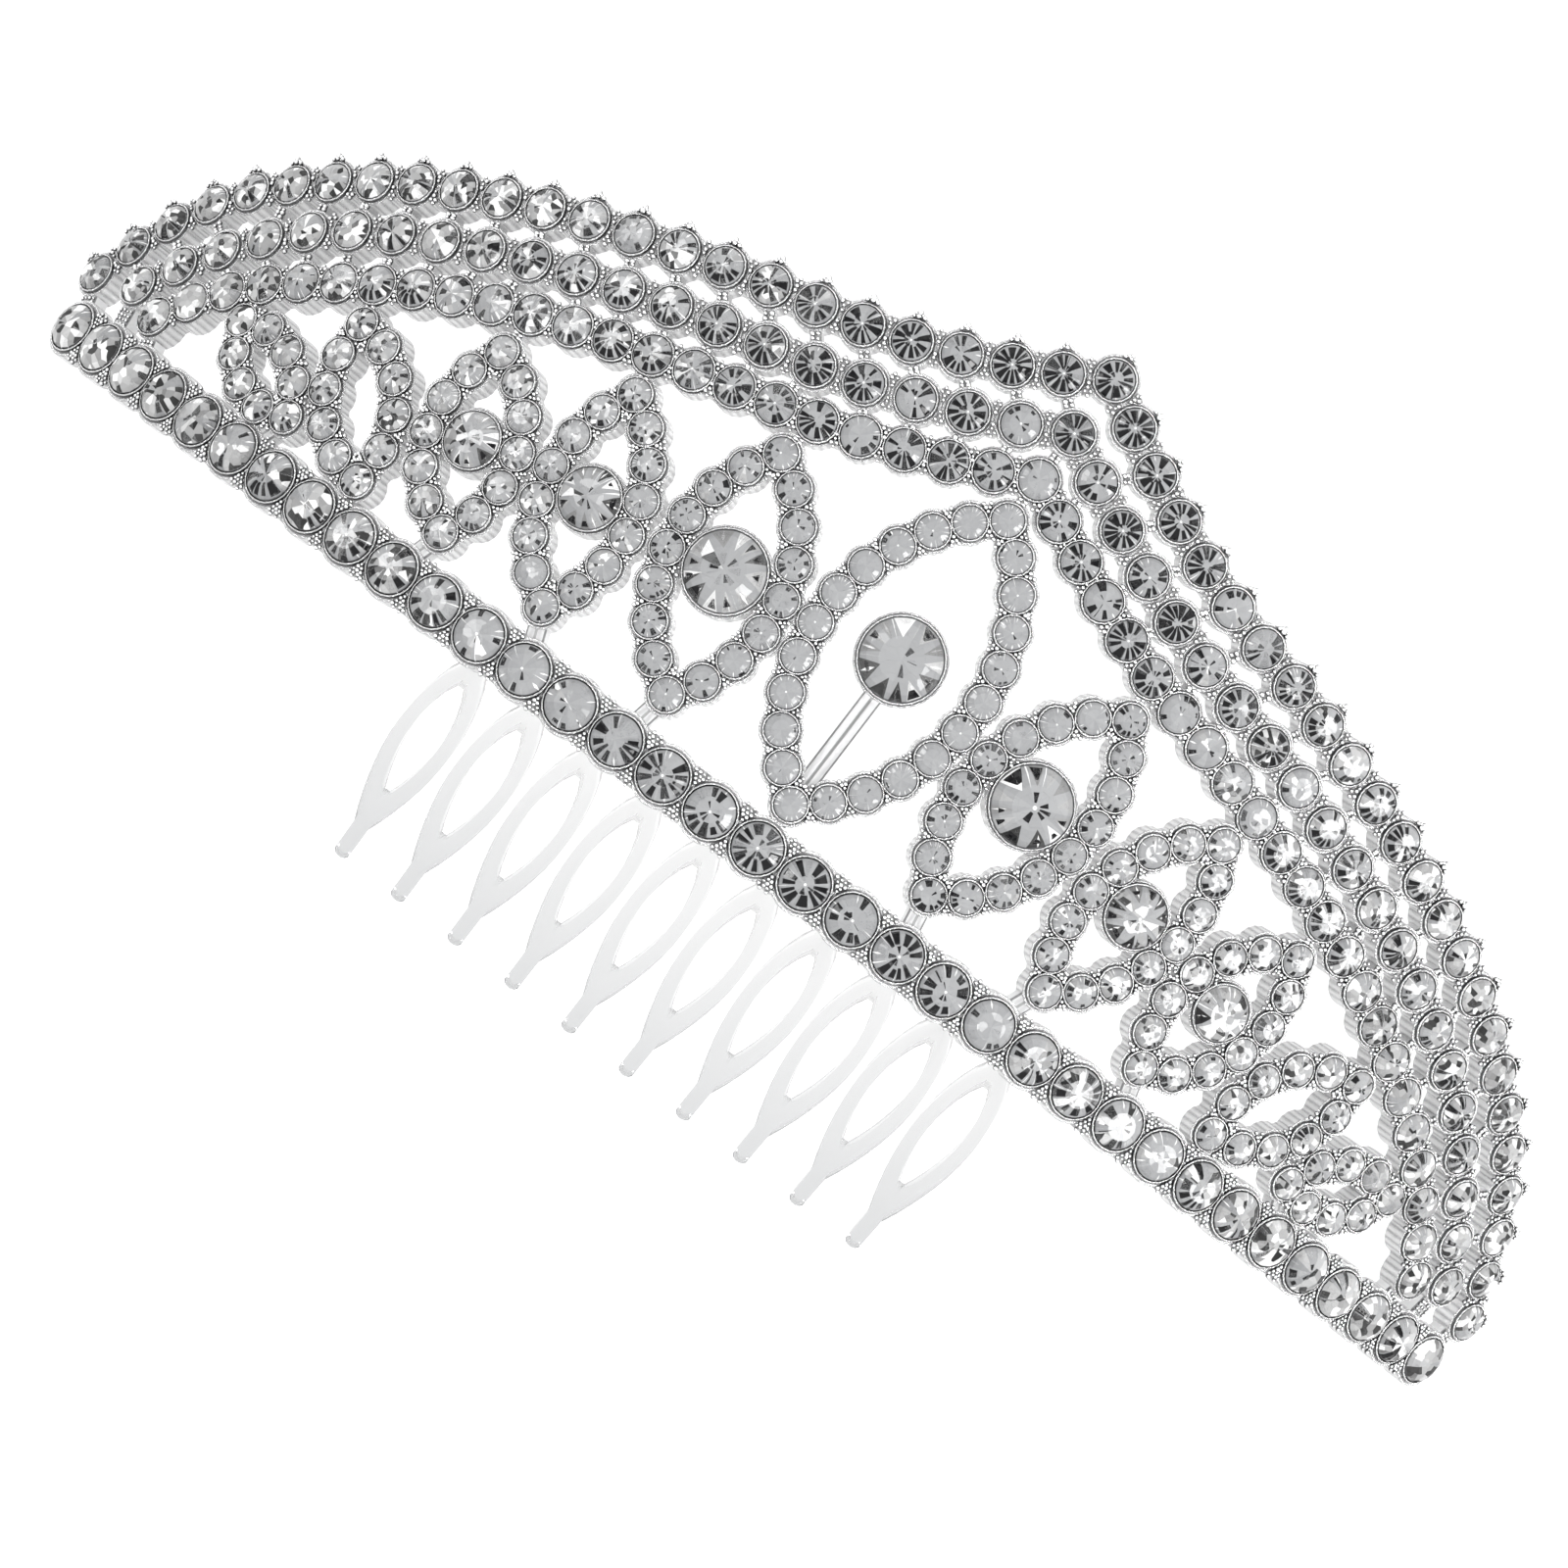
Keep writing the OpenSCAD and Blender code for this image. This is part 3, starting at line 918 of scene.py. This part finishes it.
# The painted reflections and glints of a stone, in shares of its radius. The second number of a
# pair changes the first by chance, with the distance along a sector, or in large stones.
sectors = 12
sector_waver = 0.1
middle_shift = 0.08
inner_from = 0.12
inner_to = (0.3, 0.14)
inner_width = (0.01, 0.16)
inner_chance = 0.4
outer_from = (0.68, 0.18)
outer_to = (0.93, 0.12)
outer_reach = (0.44, 0.32)
outer_point_w = 0.02
outer_width = (0.11, 0.07)
outer_chance = 0.85
large_narrowing = 0.28
sliver_from = 0.3
sliver_to = 0.92
sliver_out = (0.05, 0.2)
sliver_w = 0.02
kite_at = 0.8
kite_w = 0.032
kite_taper = 0.2
star_r = 0.05
rim_from = 0.9
large_rim_from = 0.94
fan_from = 0.5
fan_to = 0.95
fan_spread = 0.42
broken_scale = 3.4
broken_chance = 0.75
broken_to = 0.92
facet_relief = 0.0005
# Greys of the painted reflections in the ring of triangles of a large stone, and in the small facets, by
# chance
fan_greys = ((0.0, 0.01), (0.3, 0.06), (0.38, 0.24), (0.82, 0.44), (0.88, 0.9))
broken_greys = ((0.0, 0.02), (0.2, 0.06), (0.24, 0.3), (0.7, 0.5), (0.78, 0.8), (1.0, 1.0))


def foil_crystal():
    """Foil-backed glass, whose painted reflections and glints follow the numbers that each stone carries.
    """
    finish = Finish("foil_crystal")
    own = finish.attribute("own_place")
    cut = finish.attribute("cut")
    seed, dark_share, glint = cut[0], cut[1], cut[2]
    large = finish.attribute("large", 2)
    turned = finish.attribute("turned", 2)
    shade_side = finish.attribute("shade_side", 2)
    x, y = own[0], own[1]
    radius = (x * x + y * y) ** 0.5

    # A place in a sector is given along and across the sector's middle line. Each seed is spread by
    # large factors, so that the patterns of two stones have nothing in common.
    bearing = y.maths("ARCTAN2", x)
    slow_wave = (bearing * 2 + seed * 90).maths("SINE") * sector_waver
    lean = (bearing * 3 + seed * 40).maths("SINE") * sector_waver + slow_wave
    around = (bearing + lean) * (sectors / math.tau) + seed * 31.7
    sector = math.floor(around)
    angle = (around - sector - 0.5) * (math.tau / sectors)
    along = radius * angle.maths("COSINE")
    across = radius * angle.maths("SINE")

    # Painted shade: the side towards the comb is darker, the more so at the ends of the bend, and has
    # fewer painted glints
    lee = (bearing - shade_side).maths("COSINE")
    darkness = dark_share * (1 + lee * (0.2 + turned * 1.0))
    glint = glint * (1 - lee * turned * 0.6)

    def chance(layer):
        """A number from 0 to 1 for each sector of each stone, with a layer for each use."""
        where = sector.node("ShaderNodeCombineXYZ", None, {0: sector, 1: seed * 97, 2: layer})
        return where.node("ShaderNodeTexWhiteNoise", {"noise_dimensions": "3D"}, {"Vector": where})

    # Painted dark reflections on facets by the table's middle, and on ones that reach in from the girdle
    shift = (chance(1) - 0.5) * middle_shift
    inner = along.between(inner_from, inner_to[0] + chance(2) * inner_to[1])
    inner = inner * (abs(across - shift) < inner_width[0] + along * inner_width[1])
    inner = inner * (chance(3) < darkness * inner_chance)
    reach_in = dark_share * (outer_reach[0] - large * outer_reach[1])
    outer_start = outer_from[0] - reach_in + chance(10) * outer_from[1]
    outer = along.between(outer_start, outer_to[0] - chance(4) * outer_to[1])
    wide = outer_point_w + along * (outer_width[0] + chance(11) * outer_width[1])
    wide = wide - large * (large_narrowing - along * large_narrowing)
    outer = outer * (abs(across + shift) < wide)
    outer = outer * (chance(5) < darkness * outer_chance)
    dark = inner.maths("MAXIMUM", outer)

    # Painted glints: white slivers and kites, and a spark in the middle of half of the stones
    sliver_line = sliver_out[0] + along * sliver_out[1]
    sliver = along.between(sliver_from, sliver_to) * (abs(across - sliver_line) < sliver_w)
    sliver = sliver * (chance(6) < glint * 0.3 + 0.06)
    kite = kite_w - abs(along - kite_at) * kite_taper
    spot = (abs(across - shift) < kite) * (chance(7) < glint)
    star = (radius < star_r) * (seed < 0.5)
    bright = (sliver + spot + star).maths("MINIMUM", 1)

    # Painted reflections: grey fields, darker towards the comb in turned stones, and in large
    # stones a ring of triangles round the table
    field = 0.45 + (chance(8) - 0.5) * (0.3 + turned * 0.9) - lee * turned * 0.25
    flat = field.mix(field_low, field_high)
    fan = abs(across) < (along - fan_from) * fan_spread
    tone = chance(12).ramp(*fan_greys)
    flat = (fan * (along < fan_to) * large).mix(flat, tone)
    # A dark ring of painted shade round the edge of each stone, narrower in large stones
    rim = (radius - rim_from - large * (large_rim_from - rim_from)).maths("MAXIMUM", 0) * 22
    flat = rim.maths("MINIMUM", 1).mix(flat, stone_rim_shade)
    flat = bright.mix(flat, glint_white)
    flat = dark.mix(flat, dark_reflection)

    # Sectors that are broken up into small facets of painted reflection, some dark and some bright
    offset = own.node("ShaderNodeCombineXYZ", None, {0: seed * 53, 1: seed * 71})
    apart = own.node("ShaderNodeVectorMath", {"operation": "ADD"}, {0: own, 1: offset})
    inputs = {"Vector": apart, "Scale": broken_scale}
    cell = own.node("ShaderNodeTexVoronoi", {"voronoi_dimensions": "2D"}, inputs, 1)
    is_broken = (chance(9) < turned * broken_chance) * (radius < broken_to)
    flat = is_broken.mix(flat, cell[0].ramp(*broken_greys))

    # Each small facet tilts its own way, so that a table doesn't mirror one light all over
    tilt = (x * (cell[1] - 0.5) + y * (cell[2] - 0.5)) * (0.4 + turned * 0.6) * (1 + large)
    finish.bump(tilt, facet_relief)
    finish.set(Base_Color=flat, Roughness=0.06, IOR=1.5, Specular_IOR_Level=0.3)
    return finish.material


crystal_finish = foil_crystal()
cutting = random.Random(21)
large_from_d = 5
# Chance changes to the shares of painted dark reflections and painted glints, with more glints in turned
# stones
dark_shares = (0.35, 0.85, 1.05, 1.2)
glint_shares = (0.4, 1.3)
turned_glint = 0.3
# Stones are turned away from the camera more and more between these places along the bend
turned_from = 15
turned_full = 75
comb_distance = 90


def set_stones(name, points, diameter, node, darkness, glint):
    """Stones of one size as one piece, which stands for a node of the frame if one is named."""
    is_large = diameter > large_from_d
    model = crystal_model(diameter)
    spins = [cutting.uniform(0, math.tau) for p in points]
    stones = copies(model, [on_bend(p, spin) for p, spin in zip(points, spins)])
    drop(model)
    for stone, p, spin in zip(stones, points, spins):
        count = len(stone.data.vertices)
        turned = (min(abs(p[0]), turned_full) - turned_from) / (turned_full - turned_from)
        turned = max(0, turned)
        dark = darkness * (1 if is_large else cutting.choice(dark_shares))
        seed = cutting.random()
        values = (seed, dark, glint * cutting.uniform(*glint_shares) + turned_glint * turned)
        cut = stone.data.attributes.new("cut", "FLOAT_VECTOR", "POINT")
        cut.data.foreach_set("vector", values * count)
        towards_comb = math.atan2(-comb_distance, -p[0])
        kept_values = {"turned": turned, "shade_side": towards_comb - spin, "large": is_large}
        for kept_name, value in kept_values.items():
            kept = stone.data.attributes.new(kept_name, "FLOAT", "POINT")
            kept.data.foreach_set("value", [value] * count)
    piece = fuse(name, stones)
    piece.data.materials.clear()
    piece.data.materials.append(crystal_finish)
    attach(piece, "root")
    if node:
        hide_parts(node)


# Shares of painted dark reflections (darkness) and painted glints (glint) for each group of stones
rows = (("outer", outer_points, 0.95), ("middle", middle_points, 0.92), ("inner", inner_points, 0.82))
for row, points, darkness in rows:
    set_stones(f"{row}_row_crystals", points, band_stone_d, f"{row}_row_stones", darkness, glint=0.3)
for i, p in enumerate(base_points, 1):
    set_stones(f"base_crystal_{i}", [p], base_stone_d, f"base_stone_{i}", darkness=0.8, glint=0.35)
set_stones("centre_leaf_crystals", leaf_points(centre), leaf_stone_d, "centre_leaf_stones",
           darkness=0.06, glint=0.7)
for side, leaves in (("right", right_leaves[1:]), ("left", left_leaves)):
    for size, leaf in zip(("large", "medium", "small"), leaves):
        set_stones(f"{size}_leaf_crystals_{side}", leaf_points(leaf), leaf_stone_d,
                   f"{size}_leaf_stones_{side}", darkness=0.4, glint=0.5)
        set_stones(f"{size}_solitaire_crystal_{side}", [solitaire_at(leaf)], leaf["solitaire_d"],
                   f"{size}_solitaire_{side}", darkness=0.85, glint=0.5)
    for size, leaf in zip(("narrow", "end"), leaves[3:]):
        set_stones(f"{size}_leaf_crystals_{side}", leaf_points(leaf), leaf_stone_d, None,
                   darkness=0.4, glint=0.4)
set_stones("centre_solitaire_crystal", [solitaire_at(centre)], centre["solitaire_d"],
           "centre_solitaire", darkness=0.45, glint=0.5)

# The comb is one moulding of clear plastic, fixed behind the base row: a thin spine and ten looped
# teeth. Its shape is the frame's own, with the edges rounded as they leave the mould. It looks
# greyer towards the tips of the teeth. Lengths are in metres.
edge_round = 0.00028
weld = 0.000002
flat_angle = math.radians(1)
edge_angle = math.radians(50)
spine_y = 0.005
tips_y = 0.033
spine_tint = (0.8, 0.8, 0.8, 1)
tips_tint = (0.6, 0.605, 0.61, 1)
swirl_scale = 160

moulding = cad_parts["comb"].copy()
moulding.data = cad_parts["comb"].data.copy()
moulding.parent = None
for key in list(moulding.keys()):
    del moulding[key]
moulding.name = "clear_comb"
bpy.context.collection.objects.link(moulding)
bpy.ops.object.select_all(action="DESELECT")
moulding.select_set(True)
bpy.context.view_layer.objects.active = moulding
bpy.ops.object.mode_set(mode="EDIT")
bpy.ops.mesh.select_all(action="SELECT")
bpy.ops.mesh.remove_doubles(threshold=weld)
bpy.ops.mesh.dissolve_limited(angle_limit=flat_angle)
bpy.ops.object.mode_set(mode="OBJECT")
rounding = moulding.modifiers.new("rounding", "BEVEL")
rounding.width = edge_round
rounding.segments = 2
rounding.limit_method = "ANGLE"
rounding.angle_limit = edge_angle
bpy.ops.object.modifier_apply(modifier="rounding")
bpy.ops.object.shade_smooth_by_angle(angle=edge_angle)

plastic = Finish("clear_plastic")
swirl = plastic.noise(swirl_scale, 2)
reach = plastic.place()[1].ramp((spine_y, 0.0), (tips_y, 1.0))
plastic.set(Base_Color=reach.mix(spine_tint, tips_tint), Roughness=0.12 + swirl * 0.06)
plastic.set(IOR=1.18, Transmission_Weight=1.0)
moulding.data.materials.clear()
moulding.data.materials.append(plastic.material)
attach(moulding, "root")
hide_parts("comb")
